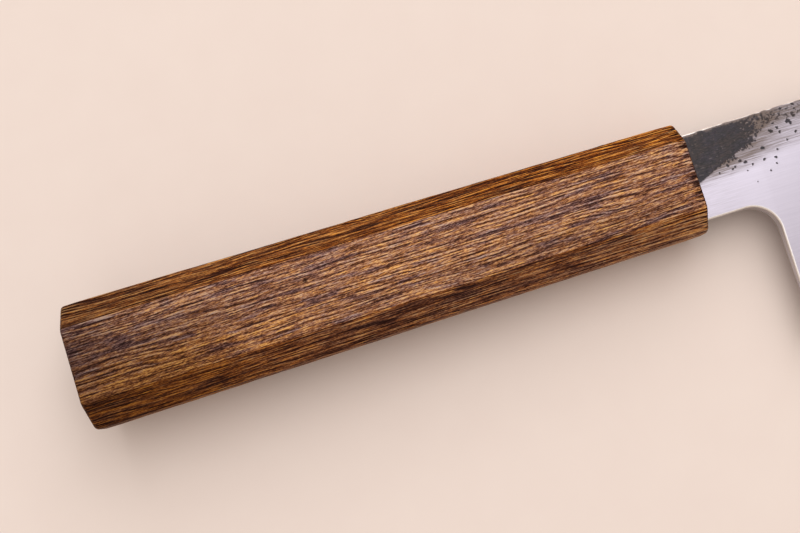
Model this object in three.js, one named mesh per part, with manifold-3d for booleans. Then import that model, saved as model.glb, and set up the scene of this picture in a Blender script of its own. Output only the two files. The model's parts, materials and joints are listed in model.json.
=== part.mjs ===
// A bunka: a Japanese kitchen knife with a clipped tip and an eight-sided wooden handle.
// It lies on its left side as it would on a table, resting on the handle's front end and the tip.
// Millimetres. X runs from butt to tip, Y from cutting edge to spine, Z up.
// Before it is laid down, the knife's own zero is on the handle's axis, at the handle's front face.

import * as THREE from 'three';
import { mergeVertices } from 'three/addons/utils/BufferGeometryUtils.js';
import Module from 'manifold-3d';

// Handle: a tapering eight-sided bar. Height is from edge side to spine side, thickness from side to side.
const HANDLE_LENGTH = 130;
const BUTT_HEIGHT = 26;
const BUTT_THICKNESS = 20.6;
const BUTT_SIDE_FACE = 15.6;      // height of each broad side face at the butt
const BUTT_BACK_FACE = 8.4;       // width of the spine-side and edge-side faces at the butt
const FRONT_HEIGHT = 23.4;
const FRONT_THICKNESS = 18.4;
const FRONT_SIDE_FACE = 14.3;
const FRONT_BACK_FACE = 7.6;
const BUTT_EASE = 0.8;            // chamfer round the butt end
const FRONT_EASE = 0.6;           // chamfer round the front end

// Blade outline, seen from the side
const NECK_LENGTH = 15.2;         // handle front to heel
const EDGE_LENGTH = 165;          // heel to tip
const SPINE_RISE = 9.1;           // spine above the handle's axis
const NECK_DROP = 9.2;            // underside of the neck below the handle's axis
const CHOIL_RADIUS = 6;
const HEEL_HEIGHT = 47;           // spine to edge at the heel
const SPINE_DROP = 3;             // fall of the spine from the heel to the start of the clip
const CLIP_LENGTH = 38;           // the clip's length along the blade, back from the tip
const TIP_LIFT = 11;              // rise of the edge from the heel to the tip
const TIP_FLAT = 0.6;             // blunt end of the tip
const BELLY_POWER = 2.4;          // how late the edge turns up

// Blade cross-section: flat below the spine, then swelling faces down to a sharpened edge
const SPINE_THICKNESS = 4;        // at the neck and heel
const TIP_THICKNESS = 1;          // of the flat, if it ran on to the tip
const FLAT_HEIGHT = 9;            // spine to the start of the ground face
const GRIND_POWER = 1.7;          // 1 is a straight wedge, more is a fuller face
const SHARPENED_HEIGHT = 0.8;
const SHARPENED_THICKNESS = 0.4;  // at the top of the sharpened strip
const EDGE_LAND = 0.1;            // thickness left at the cutting edge
const SPINE_EASE = 0.4;           // softened corners of the spine

// Layers of the blade: a hard core between two claddings
const CORE_THICKNESS = 1.2;       // in the tang and at the heel
const CORE_TIP_THICKNESS = 0.5;
const LAYER_GAP = 0.05;           // left at each weld line

// Tang, and its bedding in the handle
const TANG_LENGTH = 95;
const TANG_HEIGHT = 11;           // at the handle's front
const TANG_END_HEIGHT = 6;
const TANG_THICKNESS = 3;         // at the handle's front
const TANG_END_THICKNESS = 2;
const BEDDING_WALL = 1.2;         // of resin round the thickest part of the tang
const SEAT_GAP = 0.3;             // between pieces that fit into or sit on each other

// Fineness of the curved faces
const BLADE_STATIONS = 20;        // sections from heel to tip
const GRIND_ROWS = 10;            // rows up each ground face
const ARC_SEGMENTS = 14;          // steps round the choil

const CUT_MARGIN = 5;             // how far a cutting shape reaches past what it cuts

const HEEL_X = NECK_LENGTH;
const TIP_X = NECK_LENGTH + EDGE_LENGTH;
const CLIP_X = TIP_X - CLIP_LENGTH;

const wasm = await Module();
wasm.setup();

// Solids from meshes, and back

function toSolid(geometry) {
  const plain = geometry.clone();
  plain.deleteAttribute('normal');
  plain.deleteAttribute('uv');
  const merged = mergeVertices(plain);
  return new wasm.Manifold(new wasm.Mesh({
    numProp: 3,
    vertProperties: new Float32Array(merged.attributes.position.array),
    triVerts: new Uint32Array(merged.index.array),
  }));
}

function toGeometry(solid) {
  const mesh = solid.getMesh();
  const geometry = new THREE.BufferGeometry();
  geometry.setAttribute('position', new THREE.BufferAttribute(mesh.vertProperties, 3));
  geometry.setIndex(new THREE.BufferAttribute(mesh.triVerts, 1));
  geometry.computeVertexNormals();
  return geometry;
}

// A closed skin through sections across X. Each section is { x, ring }, with ring a list of [y, z]
// that runs anticlockwise seen from +X. Sections come in order of x and are convex.
function loft(sections) {
  const count = sections[0].ring.length;
  const positions = sections.flatMap(({ x, ring }) => ring.flatMap(([y, z]) => [x, y, z]));
  const triangles = [];
  for (let s = 0; s + 1 < sections.length; s++) {
    for (let i = 0; i < count; i++) {
      const a = s * count + i;
      const b = s * count + (i + 1) % count;
      triangles.push(a, b, b + count, a, b + count, a + count);
    }
  }
  const last = (sections.length - 1) * count;
  for (let i = 1; i + 1 < count; i++) {
    triangles.push(0, i + 1, i);
    triangles.push(last, last + i, last + i + 1);
  }
  const geometry = new THREE.BufferGeometry();
  geometry.setAttribute('position', new THREE.Float32BufferAttribute(positions, 3));
  geometry.setIndex(triangles);
  return geometry;
}

function rectangle(height, thickness) {
  const y = height / 2;
  const z = thickness / 2;
  return [[y, -z], [y, z], [-y, z], [-y, -z]];
}

// A straight-sided cutter, as thick as the blade and more, from an outline in X and Y
function bladeCutter(shape) {
  const depth = SPINE_THICKNESS + 2 * CUT_MARGIN;
  const geometry = new THREE.ExtrudeGeometry(shape, { depth, bevelEnabled: false, curveSegments: ARC_SEGMENTS });
  return toSolid(geometry.translate(0, 0, -depth / 2));
}

// Handle

function octagon(height, thickness, sideFace, backFace) {
  const y = height / 2;
  const z = thickness / 2;
  const ySide = sideFace / 2;
  const zBack = backFace / 2;
  return [
    [y, -zBack], [y, zBack], [ySide, z], [-ySide, z],
    [-y, zBack], [-y, -zBack], [-ySide, -z], [ySide, -z],
  ];
}

// The handle's section at a share of its length from the butt, drawn in all round by ease
function handleSection(share, ease) {
  const between = (butt, front) => THREE.MathUtils.lerp(butt, front, share);
  return {
    x: -HANDLE_LENGTH * (1 - share),
    ring: octagon(
      between(BUTT_HEIGHT, FRONT_HEIGHT) - 2 * ease,
      between(BUTT_THICKNESS, FRONT_THICKNESS) - 2 * ease,
      between(BUTT_SIDE_FACE, FRONT_SIDE_FACE) - ease,
      between(BUTT_BACK_FACE, FRONT_BACK_FACE) - ease,
    ),
  };
}

// A blind slot from the handle's front, or what fills it, centred on the handle's axis
function tangSlot(depth, growth, front) {
  const ring = rectangle(TANG_HEIGHT + 2 * growth, TANG_THICKNESS + 2 * growth);
  return toSolid(loft([{ x: -depth, ring }, { x: front, ring }]));
}

const BEDDING_GROWTH = SEAT_GAP + BEDDING_WALL;
const BEDDING_DEPTH = TANG_LENGTH + SEAT_GAP + BEDDING_WALL;

function makeHandle() {
  const bar = toSolid(loft([
    handleSection(0, BUTT_EASE),
    handleSection(BUTT_EASE / HANDLE_LENGTH, 0),
    handleSection(1 - FRONT_EASE / HANDLE_LENGTH, 0),
    handleSection(1, FRONT_EASE),
  ]));
  return bar.subtract(tangSlot(BEDDING_DEPTH + SEAT_GAP, BEDDING_GROWTH + SEAT_GAP, CUT_MARGIN));
}

// Tang: growth makes the slightly larger space that the bedding leaves for it
function makeTang(growth, front) {
  const root = rectangle(TANG_HEIGHT + 2 * growth, TANG_THICKNESS + 2 * growth);
  const end = rectangle(TANG_END_HEIGHT + 2 * growth, TANG_END_THICKNESS + 2 * growth);
  return toSolid(loft([
    { x: -TANG_LENGTH - growth, ring: end },
    { x: 0, ring: root },
    { x: front, ring: root },
  ]));
}

function makeBedding() {
  const filling = tangSlot(BEDDING_DEPTH, BEDDING_GROWTH, -SEAT_GAP);
  return filling.subtract(makeTang(SEAT_GAP, CUT_MARGIN));
}

// Blade

function alongEdge(x) {
  return Math.max(0, (x - HEEL_X) / EDGE_LENGTH);
}

function spineY(x) {
  const share = Math.max(0, (x - HEEL_X) / (CLIP_X - HEEL_X));
  return SPINE_RISE - SPINE_DROP * share ** 2;
}

function edgeY(x) {
  return SPINE_RISE - HEEL_HEIGHT + TIP_LIFT * alongEdge(x) ** BELLY_POWER;
}

function taper(x, atHeel, atTip) {
  return THREE.MathUtils.lerp(atHeel, atTip, alongEdge(x));
}

// The blade's section at x, before the choil and the clip are cut
function bladeSection(x) {
  const half = taper(x, SPINE_THICKNESS, TIP_THICKNESS) / 2;
  const ease = Math.min(SPINE_EASE, half / 2);
  const sharpenedY = edgeY(x) + SHARPENED_HEIGHT;
  const grindHeight = spineY(x) - FLAT_HEIGHT - sharpenedY;
  const side = [[edgeY(x), EDGE_LAND / 2]];
  for (let row = 0; row <= GRIND_ROWS; row++) {
    const up = row / GRIND_ROWS;
    const fullness = 1 - (1 - up) ** GRIND_POWER;
    side.push([
      sharpenedY + grindHeight * up,
      THREE.MathUtils.lerp(SHARPENED_THICKNESS / 2, half, fullness),
    ]);
  }
  side.push([spineY(x) - ease, half], [spineY(x), half - ease]);
  const otherSide = side.map(([y, z]) => [y, -z]);
  return { x, ring: [...otherSide, ...side.reverse()] };
}

function choilShape() {
  const back = -CUT_MARGIN;
  const low = edgeY(HEEL_X) - CUT_MARGIN;
  const shape = new THREE.Shape();
  shape.moveTo(back, low);
  shape.lineTo(HEEL_X, low);
  shape.lineTo(HEEL_X, -NECK_DROP - CHOIL_RADIUS);
  shape.absarc(HEEL_X - CHOIL_RADIUS, -NECK_DROP - CHOIL_RADIUS, CHOIL_RADIUS, 0, Math.PI / 2, false);
  shape.lineTo(back, -NECK_DROP);
  return shape;
}

// Everything above the clip's straight line, which runs from the spine to the top of the blunt tip
function clipShape() {
  const start = new THREE.Vector2(CLIP_X, spineY(CLIP_X));
  const end = new THREE.Vector2(TIP_X, edgeY(TIP_X) + TIP_FLAT);
  const past = end.clone().sub(start).setLength(CUT_MARGIN);
  start.sub(past);
  end.add(past);
  return new THREE.Shape([start, end, new THREE.Vector2(end.x, start.y)]);
}

function makeBlade() {
  const sections = [bladeSection(SEAT_GAP)];
  for (let i = 0; i <= BLADE_STATIONS; i++) {
    sections.push(bladeSection(HEEL_X + EDGE_LENGTH * i / BLADE_STATIONS));
  }
  return toSolid(loft(sections))
    .subtract(bladeCutter(choilShape()))
    .subtract(bladeCutter(clipShape()))
    .add(makeTang(0, HEEL_X / 2));
}

// The space of one layer through tang and blade, between two heights that taper from heel to tip
function layerSpace(bottomAt, topAt) {
  const reach = HEEL_HEIGHT + CUT_MARGIN;
  const stations = [-TANG_LENGTH - CUT_MARGIN, HEEL_X, TIP_X + CUT_MARGIN];
  return toSolid(loft(stations.map((x) => ({
    x,
    ring: [[reach, bottomAt(x)], [reach, topAt(x)], [-reach, topAt(x)], [-reach, bottomAt(x)]],
  }))));
}

const coreTop = (x) => taper(x, CORE_THICKNESS, CORE_TIP_THICKNESS) / 2;
const claddingBottom = (x) => coreTop(x) + LAYER_GAP;
const claddingTop = () => SPINE_THICKNESS / 2 + CUT_MARGIN;

const blade = makeBlade();
const edgeCore = blade.intersect(layerSpace((x) => -coreTop(x), coreTop));
const rightCladding = blade.intersect(layerSpace(claddingBottom, claddingTop));
const leftCladding = blade.intersect(layerSpace((x) => -claddingTop(x), (x) => -claddingBottom(x)));

// Materials

const burntOak = new THREE.MeshStandardMaterial({ color: 0x87614b, roughness: 0.55, metalness: 0 });
const beddingResin = new THREE.MeshStandardMaterial({ color: 0x2a211c, roughness: 0.4, metalness: 0 });
const hardSteel = new THREE.MeshStandardMaterial({ color: 0xcfccd2, roughness: 0.25, metalness: 1 });
const softSteel = new THREE.MeshStandardMaterial({ color: 0xd8d0dc, roughness: 0.4, metalness: 1 });

function named(name, solid, material) {
  const mesh = new THREE.Mesh(toGeometry(solid), material);
  mesh.name = name;
  return mesh;
}

const knife = new THREE.Group();
knife.add(
  named('octagonal_handle', makeHandle(), burntOak),
  named('tang_bedding', makeBedding(), beddingResin),
  named('edge_core', edgeCore, hardSteel),
  named('right_cladding', rightCladding, softSteel),
  named('left_cladding', leftCladding, softSteel.clone()),
);

// How far the knife tips forward over the handle's front end before the blade touches the table
function restAngle() {
  const pivotX = -FRONT_EASE;
  const pivotDrop = THREE.MathUtils.lerp(FRONT_THICKNESS, BUTT_THICKNESS, FRONT_EASE / HANDLE_LENGTH) / 2;
  const points = blade.getMesh().vertProperties;
  let angle = Math.PI / 2;
  for (let i = 0; i < points.length; i += 3) {
    if (points[i] > HEEL_X) {
      angle = Math.min(angle, Math.atan2(pivotDrop + points[i + 2], points[i] - pivotX));
    }
  }
  return angle;
}

knife.rotation.y = restAngle();

// The model's zero is under the middle of the knife, on the table
const box = new THREE.Box3().setFromObject(knife, true);
const middle = box.getCenter(new THREE.Vector3());
knife.position.set(-middle.x, -middle.y, -box.min.z);

const model = new THREE.Group();
model.add(knife);

export default model;
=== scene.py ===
# Looks of a bunka knife that lies on its left side: a handle of burnt, brushed oak and a layered blade
# with black forge skin at the neck. Knife coordinates are in millimetres: x from the handle's front face
# towards the tip, y from the cutting edge to the spine, z out of the right side.

import json
import math
from itertools import product

import bpy
import numpy as np
from mathutils import Matrix, Vector
from mathutils.geometry import delaunay_2d_cdt


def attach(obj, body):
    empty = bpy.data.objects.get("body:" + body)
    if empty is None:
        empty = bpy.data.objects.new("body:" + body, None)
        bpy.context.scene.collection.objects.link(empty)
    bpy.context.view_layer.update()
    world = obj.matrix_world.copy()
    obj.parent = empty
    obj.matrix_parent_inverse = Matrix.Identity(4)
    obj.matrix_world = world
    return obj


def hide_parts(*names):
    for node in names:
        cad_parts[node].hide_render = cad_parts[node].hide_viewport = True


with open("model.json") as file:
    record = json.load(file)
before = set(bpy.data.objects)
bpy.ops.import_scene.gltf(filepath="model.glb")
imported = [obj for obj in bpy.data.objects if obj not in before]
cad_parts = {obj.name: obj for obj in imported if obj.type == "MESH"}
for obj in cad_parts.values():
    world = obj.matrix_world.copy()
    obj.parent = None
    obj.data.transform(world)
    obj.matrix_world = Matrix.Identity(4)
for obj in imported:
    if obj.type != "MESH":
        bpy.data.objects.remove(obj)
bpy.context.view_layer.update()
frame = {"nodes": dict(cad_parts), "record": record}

MM = 0.001

# Handle sizes
HANDLE_LENGTH = 130.0
BUTT_HEIGHT, FRONT_HEIGHT = 26.0, 23.4
BUTT_THICKNESS, FRONT_THICKNESS = 20.6, 18.4
BUTT_SIDE_FACE, FRONT_SIDE_FACE = 15.6, 14.3
BUTT_BACK_FACE, FRONT_BACK_FACE = 8.4, 7.6
BUTT_EASE, FRONT_EASE = 0.8, 0.6
MORTISE_HEIGHT, MORTISE_THICKNESS, MORTISE_DEPTH = 14.6, 6.6, 96.8

# Blade sizes
NECK_LENGTH = 15.2
EDGE_LENGTH = 165.0
SPINE_RISE, NECK_DROP = 9.1, 9.2
CHOIL_RADIUS = 6.0
HEEL_HEIGHT = 47.0
SPINE_DROP = 3.0
CLIP_LENGTH = 38.0
TIP_LIFT, TIP_FLAT = 11.0, 0.6
BELLY_POWER = 2.4
SPINE_THICKNESS, TIP_THICKNESS = 4.0, 1.0
FLAT_HEIGHT = 9.0
GRIND_POWER = 1.7
SHARPENED_HEIGHT, SHARPENED_THICKNESS, EDGE_LAND = 0.8, 0.4, 0.1
CORE_THICKNESS, CORE_TIP_THICKNESS = 1.2, 0.5
TANG_LENGTH = 95.0
TANG_HEIGHT, TANG_END_HEIGHT = 11.0, 6.0
TANG_THICKNESS, TANG_END_THICKNESS = 3.0, 2.0
SHOULDER_X = 0.3
HEEL_X = NECK_LENGTH
TIP_X = NECK_LENGTH + EDGE_LENGTH
CLIP_X = TIP_X - CLIP_LENGTH


def knife_to_frame():
    """Matrix from knife coordinates in mm to the frame in metres, read from the butt's mount."""
    butt = next(m for m in frame["record"]["mounts"] if m["name"] == "butt_end")
    along = -Vector(butt["axis"]).normalized()
    spineward = Vector((0, 1, 0))
    outward = along.cross(spineward)
    zero = Vector(butt["pos_m"]) + along * HANDLE_LENGTH * MM
    turn = Matrix((along, spineward, outward)).transposed().to_4x4()
    return Matrix.Translation(zero) @ turn @ Matrix.Scale(MM, 4)


KNIFE_TO_FRAME = knife_to_frame()


# Random figure and small sums

def noise(places, seed):
    """Smooth random values from -1 to 1 at places, rows of x, y, z, on a lattice one unit wide."""
    low = np.floor(places).astype(np.int64)
    part = places - low
    ease = part ** 3 * (part * (part * 6 - 15) + 10)
    total = np.zeros(len(places))
    for corner in product((0, 1), repeat=3):
        # The corner's numbers and the seed are scrambled into one value
        cell = (low + corner) & 0xFFFFFFFF
        mixed = cell[:, 0] * 73856093 ^ cell[:, 1] * 19349663 ^ cell[:, 2] * 83492791 ^ seed * 2654435761
        mixed = mixed.astype(np.uint64)
        for shift in (33, 29):
            mixed = (mixed ^ (mixed >> np.uint64(shift))) * np.uint64(0x9E3779B97F4A7C15)
        value = (mixed >> np.uint64(40)).astype(float) / 2 ** 23 - 1
        total += value * np.prod(np.where(corner, ease, 1 - ease), axis=1)
    return total


def flat_noise(across, up, seed):
    """The same random values on a plane."""
    return noise(np.stack([across, up, 0 * across], axis=1), seed)


def smooth_step(value, low, high):
    """0 at low, 1 at high and a smooth rise between them. Low may be the larger one."""
    part = np.clip((value - low) / (high - low), 0, 1)
    return part * part * (3 - 2 * part)


def between(start, end, share):
    return start + (end - start) * share


def near(x, y, place):
    """1 in the middle of a place, fading round it. A place is x, y, half its length and half its height."""
    middle_x, middle_y, length, height = place
    return np.exp(-((x - middle_x) / length) ** 2 - ((y - middle_y) / height) ** 2)


# Materials

def linear(code):
    """Linear colour with alpha from an sRGB hex code."""
    parts = [int(code[i:i + 2], 16) / 255 for i in (1, 3, 5)]
    return tuple(p / 12.92 if p <= 0.04045 else ((p + 0.055) / 1.055) ** 2.4 for p in parts) + (1.0,)


def add(tree, kind, inputs=(), stops=(), **settings):
    """Adds a node with its own settings. Inputs are pairs of socket name or number, and value or socket.
    Stops are a colour ramp's pairs of place and hex code."""
    made = tree.nodes.new(kind)
    for number, (place, code) in enumerate(stops):
        element = made.color_ramp.elements[number] if number < 2 else made.color_ramp.elements.new(place)
        element.position = place
        element.color = linear(code)
    for name, value in settings.items():
        setattr(made, name, value)
    for name, value in inputs:
        if isinstance(value, bpy.types.NodeSocket):
            tree.links.new(value, made.inputs[name])
        else:
            made.inputs[name].default_value = value
    return made


def start_material(name):
    """A new material with only a Principled shader: the material, its tree and that shader."""
    material = bpy.data.materials.new(name)
    material.use_nodes = True
    tree = material.node_tree
    return material, tree, tree.nodes["Principled BSDF"]


FIGURE_ROLL = 25.0    # degrees that each figure is rolled about the knife's axis


def figure(tree, length, across, slant=0.0, **inputs):
    """Noise drawn out along the knife: length and across are its size in mm, slant turns it in degrees.
    It is rolled, so that no face of the knife lies in one layer of it."""
    place = add(tree, "ShaderNodeTexCoord")
    turn = ("Rotation", (math.radians(FIGURE_ROLL), KNIFE_TO_FRAME.to_euler().y, math.radians(slant)))
    size = ("Scale", (length * MM, across * MM, across * MM))
    stretch = add(tree, "ShaderNodeMapping", [("Vector", place.outputs["Object"]), turn, size],
                  vector_type="TEXTURE")
    made = add(tree, "ShaderNodeTexNoise", [("Vector", stretch.outputs[0]), ("Scale", 1.0), *inputs.items()])
    return made.outputs[0]


def burnt_oak():
    """Oak scorched with a flame, wire-brushed and oiled: golden raised fibres between dark open pores,
    orange-brown on the narrow faces. The two broad faces are greyer, a painted sheen of the overhead light,
    and the three lower faces a little greyer, a painted reflection of the table."""
    material, tree, shader = start_material("burnt_brushed_oak")
    ridge = add(tree, "ShaderNodeAttribute", attribute_name="ridge").outputs["Fac"]
    broad_and_sheen = add(tree, "ShaderNodeAttribute", attribute_name="broad_and_sheen").outputs["Fac"]
    scorch_and_shade = add(tree, "ShaderNodeAttribute", attribute_name="scorch_and_shade").outputs["Fac"]
    warmth_and_sheen = add(tree, "ShaderNodeAttribute", attribute_name="warmth_and_sheen").outputs["Fac"]

    # Height: the mesh's fibres, brushed hairs, and short scratches and flecks, deepest on the broad faces
    hair = figure(tree, 6.5, 0.23, Detail=4.0, Roughness=0.6)
    scratches = figure(tree, 1.8, 0.19, slant=7.0, Detail=1.0)
    flecks = figure(tree, 0.7, 0.2, slant=8.0, Detail=2.0, Roughness=0.7)
    brushed = add(tree, "ShaderNodeMapRange", [("Value", hair), ("From Min", 0.37), ("From Max", 0.63)])
    smooth = add(tree, "ShaderNodeMix", [(0, 0.5), (2, ridge), (3, brushed.outputs[0])])
    marks = add(tree, "ShaderNodeMix", [(0, 0.34), (2, flecks), (3, scratches)])
    rough = add(tree, "ShaderNodeMapRange", [("Value", marks.outputs[0]), ("To Min", -1.0), ("To Max", 1.0)])
    depth = add(tree, "ShaderNodeMapRange", [("Value", broad_and_sheen), ("To Min", 0.45), ("To Max", 1.0)])
    height = add(tree, "ShaderNodeMath",
                 [(0, rough.outputs[0]), (1, depth.outputs[0]), (2, smooth.outputs[0])],
                 operation="MULTIPLY_ADD").outputs[0]

    # Colour: dark low wood and pale high wood, greyer on the broad faces as a painted sheen, then cool and
    # golden patches, the cool ones in charred streaks a painted sheen, then the scorch with its painted
    # shade
    narrow_wood = add(tree, "ShaderNodeValToRGB", [("Fac", height)],
                      stops=[(0.29, "#300c02"), (0.49, "#7a4120"), (0.66, "#c1793f"), (0.84, "#f0b06a")])
    # The broad faces' paler, greyer colours are a painted sheen of the overhead light
    sheened_broad_wood = add(tree, "ShaderNodeValToRGB", [("Fac", height)],
                     stops=[(0.22, "#472820"), (0.48, "#976456"), (0.72, "#d8a189"), (0.9, "#ffcfae")])
    wood = add(tree, "ShaderNodeMix", [(0, broad_and_sheen), (6, narrow_wood.outputs[0]), (7, sheened_broad_wood.outputs[0])],
               data_type="RGBA")
    oil = figure(tree, 3.0, 0.5, slant=2.0, Detail=5.0, Roughness=0.85)
    patchy = add(tree, "ShaderNodeMapRange", [("Value", oil), ("From Min", 0.35), ("From Max", 0.65)])
    golden_share = add(tree, "ShaderNodeMath", [(0, patchy.outputs[0]), (1, warmth_and_sheen)], operation="ADD")
    # Low shares take the cool tint, which in charred streaks is a painted sheen of the overhead light
    tint = add(tree, "ShaderNodeMix",
               [(0, golden_share.outputs[0]), (6, linear("#c4d2ea")), (7, linear("#ffee9c"))], data_type="RGBA")
    oiled = add(tree, "ShaderNodeMix", [(0, 1.0), (6, wood.outputs[2]), (7, tint.outputs[2])],
                data_type="RGBA", blend_type="MULTIPLY")
    burnt_and_shaded = add(tree, "ShaderNodeMix", [(0, scorch_and_shade), (6, oiled.outputs[2]), (7, linear("#5c4a48"))],
                data_type="RGBA", blend_type="MULTIPLY")

    bump = add(tree, "ShaderNodeBump", [("Height", hair), ("Strength", 0.4), ("Distance", 0.03 * MM)])
    tree.links.new(burnt_and_shaded.outputs[2], shader.inputs["Base Color"])
    tree.links.new(bump.outputs[0], shader.inputs["Normal"])
    shader.inputs["Roughness"].default_value = 0.5
    shader.inputs["Specular IOR Level"].default_value = 0.04
    return material


def forged_steel():
    """Soft steel, forged and then ground: violet-black scale with brown patches where it was left, pale
    satin lines elsewhere, whose violet tint is a painted reflection of the light, grey rubbed streaks
    between them, and bare eased corners painted near white as a highlight. Real grinding lines are finer
    than these, which are drawn coarse enough to show."""
    material, tree, shader = start_material("forged_ground_steel")
    skin = add(tree, "ShaderNodeAttribute", attribute_name="skin").outputs["Fac"]
    haze = add(tree, "ShaderNodeAttribute", attribute_name="haze").outputs["Fac"]
    polish_highlight = add(tree, "ShaderNodeAttribute", attribute_name="polish_highlight").outputs["Fac"]

    # Ground face: satin lines, dulled by the haze in streaks that are strongest where the haze is half full
    lines = figure(tree, 22.0, 0.2)
    # The satin's violet tint is a painted reflection of the light
    tinted_satin = add(tree, "ShaderNodeMix", [(0, lines), (6, linear("#b0aab8")), (7, linear("#c3bdca"))],
                data_type="RGBA")
    rubs = figure(tree, 5.0, 0.17, Detail=3.0, Roughness=0.7)
    swing = add(tree, "ShaderNodeMapRange",
                [("Value", rubs), ("From Min", 0.3), ("From Max", 0.7), ("To Min", -1.0), ("To Max", 1.0)])
    spare = add(tree, "ShaderNodeMath", [(0, 1.1), (1, haze)], operation="SUBTRACT")
    share = add(tree, "ShaderNodeMath", [(0, haze), (1, spare.outputs[0]), (2, 0.04)],
                operation="MULTIPLY_ADD")
    dull = add(tree, "ShaderNodeMath", [(0, share.outputs[0]), (1, swing.outputs[0]), (2, haze)],
               operation="MULTIPLY_ADD", use_clamp=True)
    hazy = add(tree, "ShaderNodeMix", [(0, dull.outputs[0]), (6, tinted_satin.outputs[2]), (7, linear("#625651"))],
               data_type="RGBA")
    # Bare corners take a near-white colour, a painted highlight
    rubbed_highlight = add(tree, "ShaderNodeMix", [(0, polish_highlight), (6, hazy.outputs[2]), (7, linear("#f9f1ea"))],
                 data_type="RGBA")

    # Skin: grains of scale, some of it brown
    grains = figure(tree, 0.9, 0.3, Detail=3.0, Roughness=0.7)
    scale = add(tree, "ShaderNodeMapRange", [("Value", grains), ("From Min", 0.35), ("From Max", 0.7)])
    patches = figure(tree, 4.0, 2.2)
    brown = add(tree, "ShaderNodeMapRange", [("Value", patches), ("From Min", 0.42), ("From Max", 0.62)])
    crust = add(tree, "ShaderNodeMix",
                [(0, brown.outputs[0]), (6, linear("#322737")), (7, linear("#3a2828"))], data_type="RGBA")
    black = add(tree, "ShaderNodeMix",
                [(0, scale.outputs[0]), (6, linear("#0a030a")), (7, crust.outputs[2])], data_type="RGBA")

    colour = add(tree, "ShaderNodeMix", [(0, skin), (6, rubbed_highlight.outputs[2]), (7, black.outputs[2])],
                 data_type="RGBA")
    metal = add(tree, "ShaderNodeMath", [(0, 1.0), (1, skin)], operation="SUBTRACT")
    ground = add(tree, "ShaderNodeMapRange", [("Value", lines), ("To Min", 0.32), ("To Max", 0.42)])
    bright = add(tree, "ShaderNodeMix", [(0, polish_highlight), (2, ground.outputs[0]), (3, 0.5)])
    rough = add(tree, "ShaderNodeMix", [(0, skin), (2, bright.outputs[0]), (3, 0.5)])
    relief = add(tree, "ShaderNodeMix", [(0, skin), (2, lines), (3, scale.outputs[0])])
    depth = add(tree, "ShaderNodeMapRange", [("Value", skin), ("To Min", 0.35), ("To Max", 1.0)])
    bump = add(tree, "ShaderNodeBump",
               [("Height", relief.outputs[0]), ("Strength", depth.outputs[0]), ("Distance", 0.02 * MM)])
    tree.links.new(colour.outputs[2], shader.inputs["Base Color"])
    tree.links.new(metal.outputs[0], shader.inputs["Metallic"])
    tree.links.new(rough.outputs[0], shader.inputs["Roughness"])
    tree.links.new(bump.outputs[0], shader.inputs["Normal"])
    shader.inputs["Specular IOR Level"].default_value = 0.48
    return material


def core_steel():
    """Hard carbon steel, stone-ground: brighter and smoother than the cladding, with fine lines along it,
    which are drawn coarse enough to show."""
    material, tree, shader = start_material("stone_ground_core_steel")
    lines = figure(tree, 14.0, 0.12)
    colour = add(tree, "ShaderNodeMix", [(0, lines), (6, linear("#b8b4ba")), (7, linear("#c4c0c6"))],
                 data_type="RGBA")
    rough = add(tree, "ShaderNodeMapRange", [("Value", lines), ("To Min", 0.2), ("To Max", 0.3)])
    tree.links.new(colour.outputs[2], shader.inputs["Base Color"])
    tree.links.new(rough.outputs[0], shader.inputs["Roughness"])
    shader.inputs["Metallic"].default_value = 1.0
    return material


def bedding_resin():
    """Dark cast epoxy with wood dust in it: nearly black, with a soft shine."""
    material, tree, shader = start_material("cast_dark_resin")
    dust = figure(tree, 0.6, 0.6)
    colour = add(tree, "ShaderNodeMix", [(0, dust), (6, linear("#1d1511")), (7, linear("#35281f"))],
                 data_type="RGBA")
    rough = add(tree, "ShaderNodeMapRange", [("Value", dust), ("To Min", 0.3), ("To Max", 0.5)])
    tree.links.new(colour.outputs[2], shader.inputs["Base Color"])
    tree.links.new(rough.outputs[0], shader.inputs["Roughness"])
    return material


def matte_table():
    """Matte painted board: pale warm beige with a faint mottle."""
    material, tree, shader = start_material("matte_painted_board")
    mottle = figure(tree, 9.0, 9.0)
    colour = add(tree, "ShaderNodeMix", [(0, mottle), (6, linear("#f2e2da")), (7, linear("#f5e6de"))],
                 data_type="RGBA")
    tree.links.new(colour.outputs[2], shader.inputs["Base Color"])
    shader.inputs["Roughness"].default_value = 0.9
    shader.inputs["Specular IOR Level"].default_value = 0.1
    return material


# Meshes

def make_piece(name, points, faces, marks, material, node, sharp_degrees):
    """A piece from knife coordinates, with its marks as attributes. It stands for a CAD node."""
    mesh = bpy.data.meshes.new(name)
    mesh.from_pydata(points.tolist(), [], faces)
    for mark, values in marks.items():
        mesh.attributes.new(mark, "FLOAT", "POINT").data.foreach_set("value", np.asarray(values, np.float32))
    mesh.transform(KNIFE_TO_FRAME)
    mesh.materials.append(material)
    mesh.shade_smooth()
    mesh.set_sharp_from_angle(angle=math.radians(sharp_degrees))
    piece = bpy.data.objects.new(name, mesh)
    bpy.context.scene.collection.objects.link(piece)
    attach(piece, "root")
    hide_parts(node)
    return piece


# Handle shape

# mm between points round the handle on each face, from the spine side over the right side
RING_STEPS = (0.25, 0.18, 0.16, 0.18, 0.25, 0.26, 0.26, 0.26)
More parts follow.
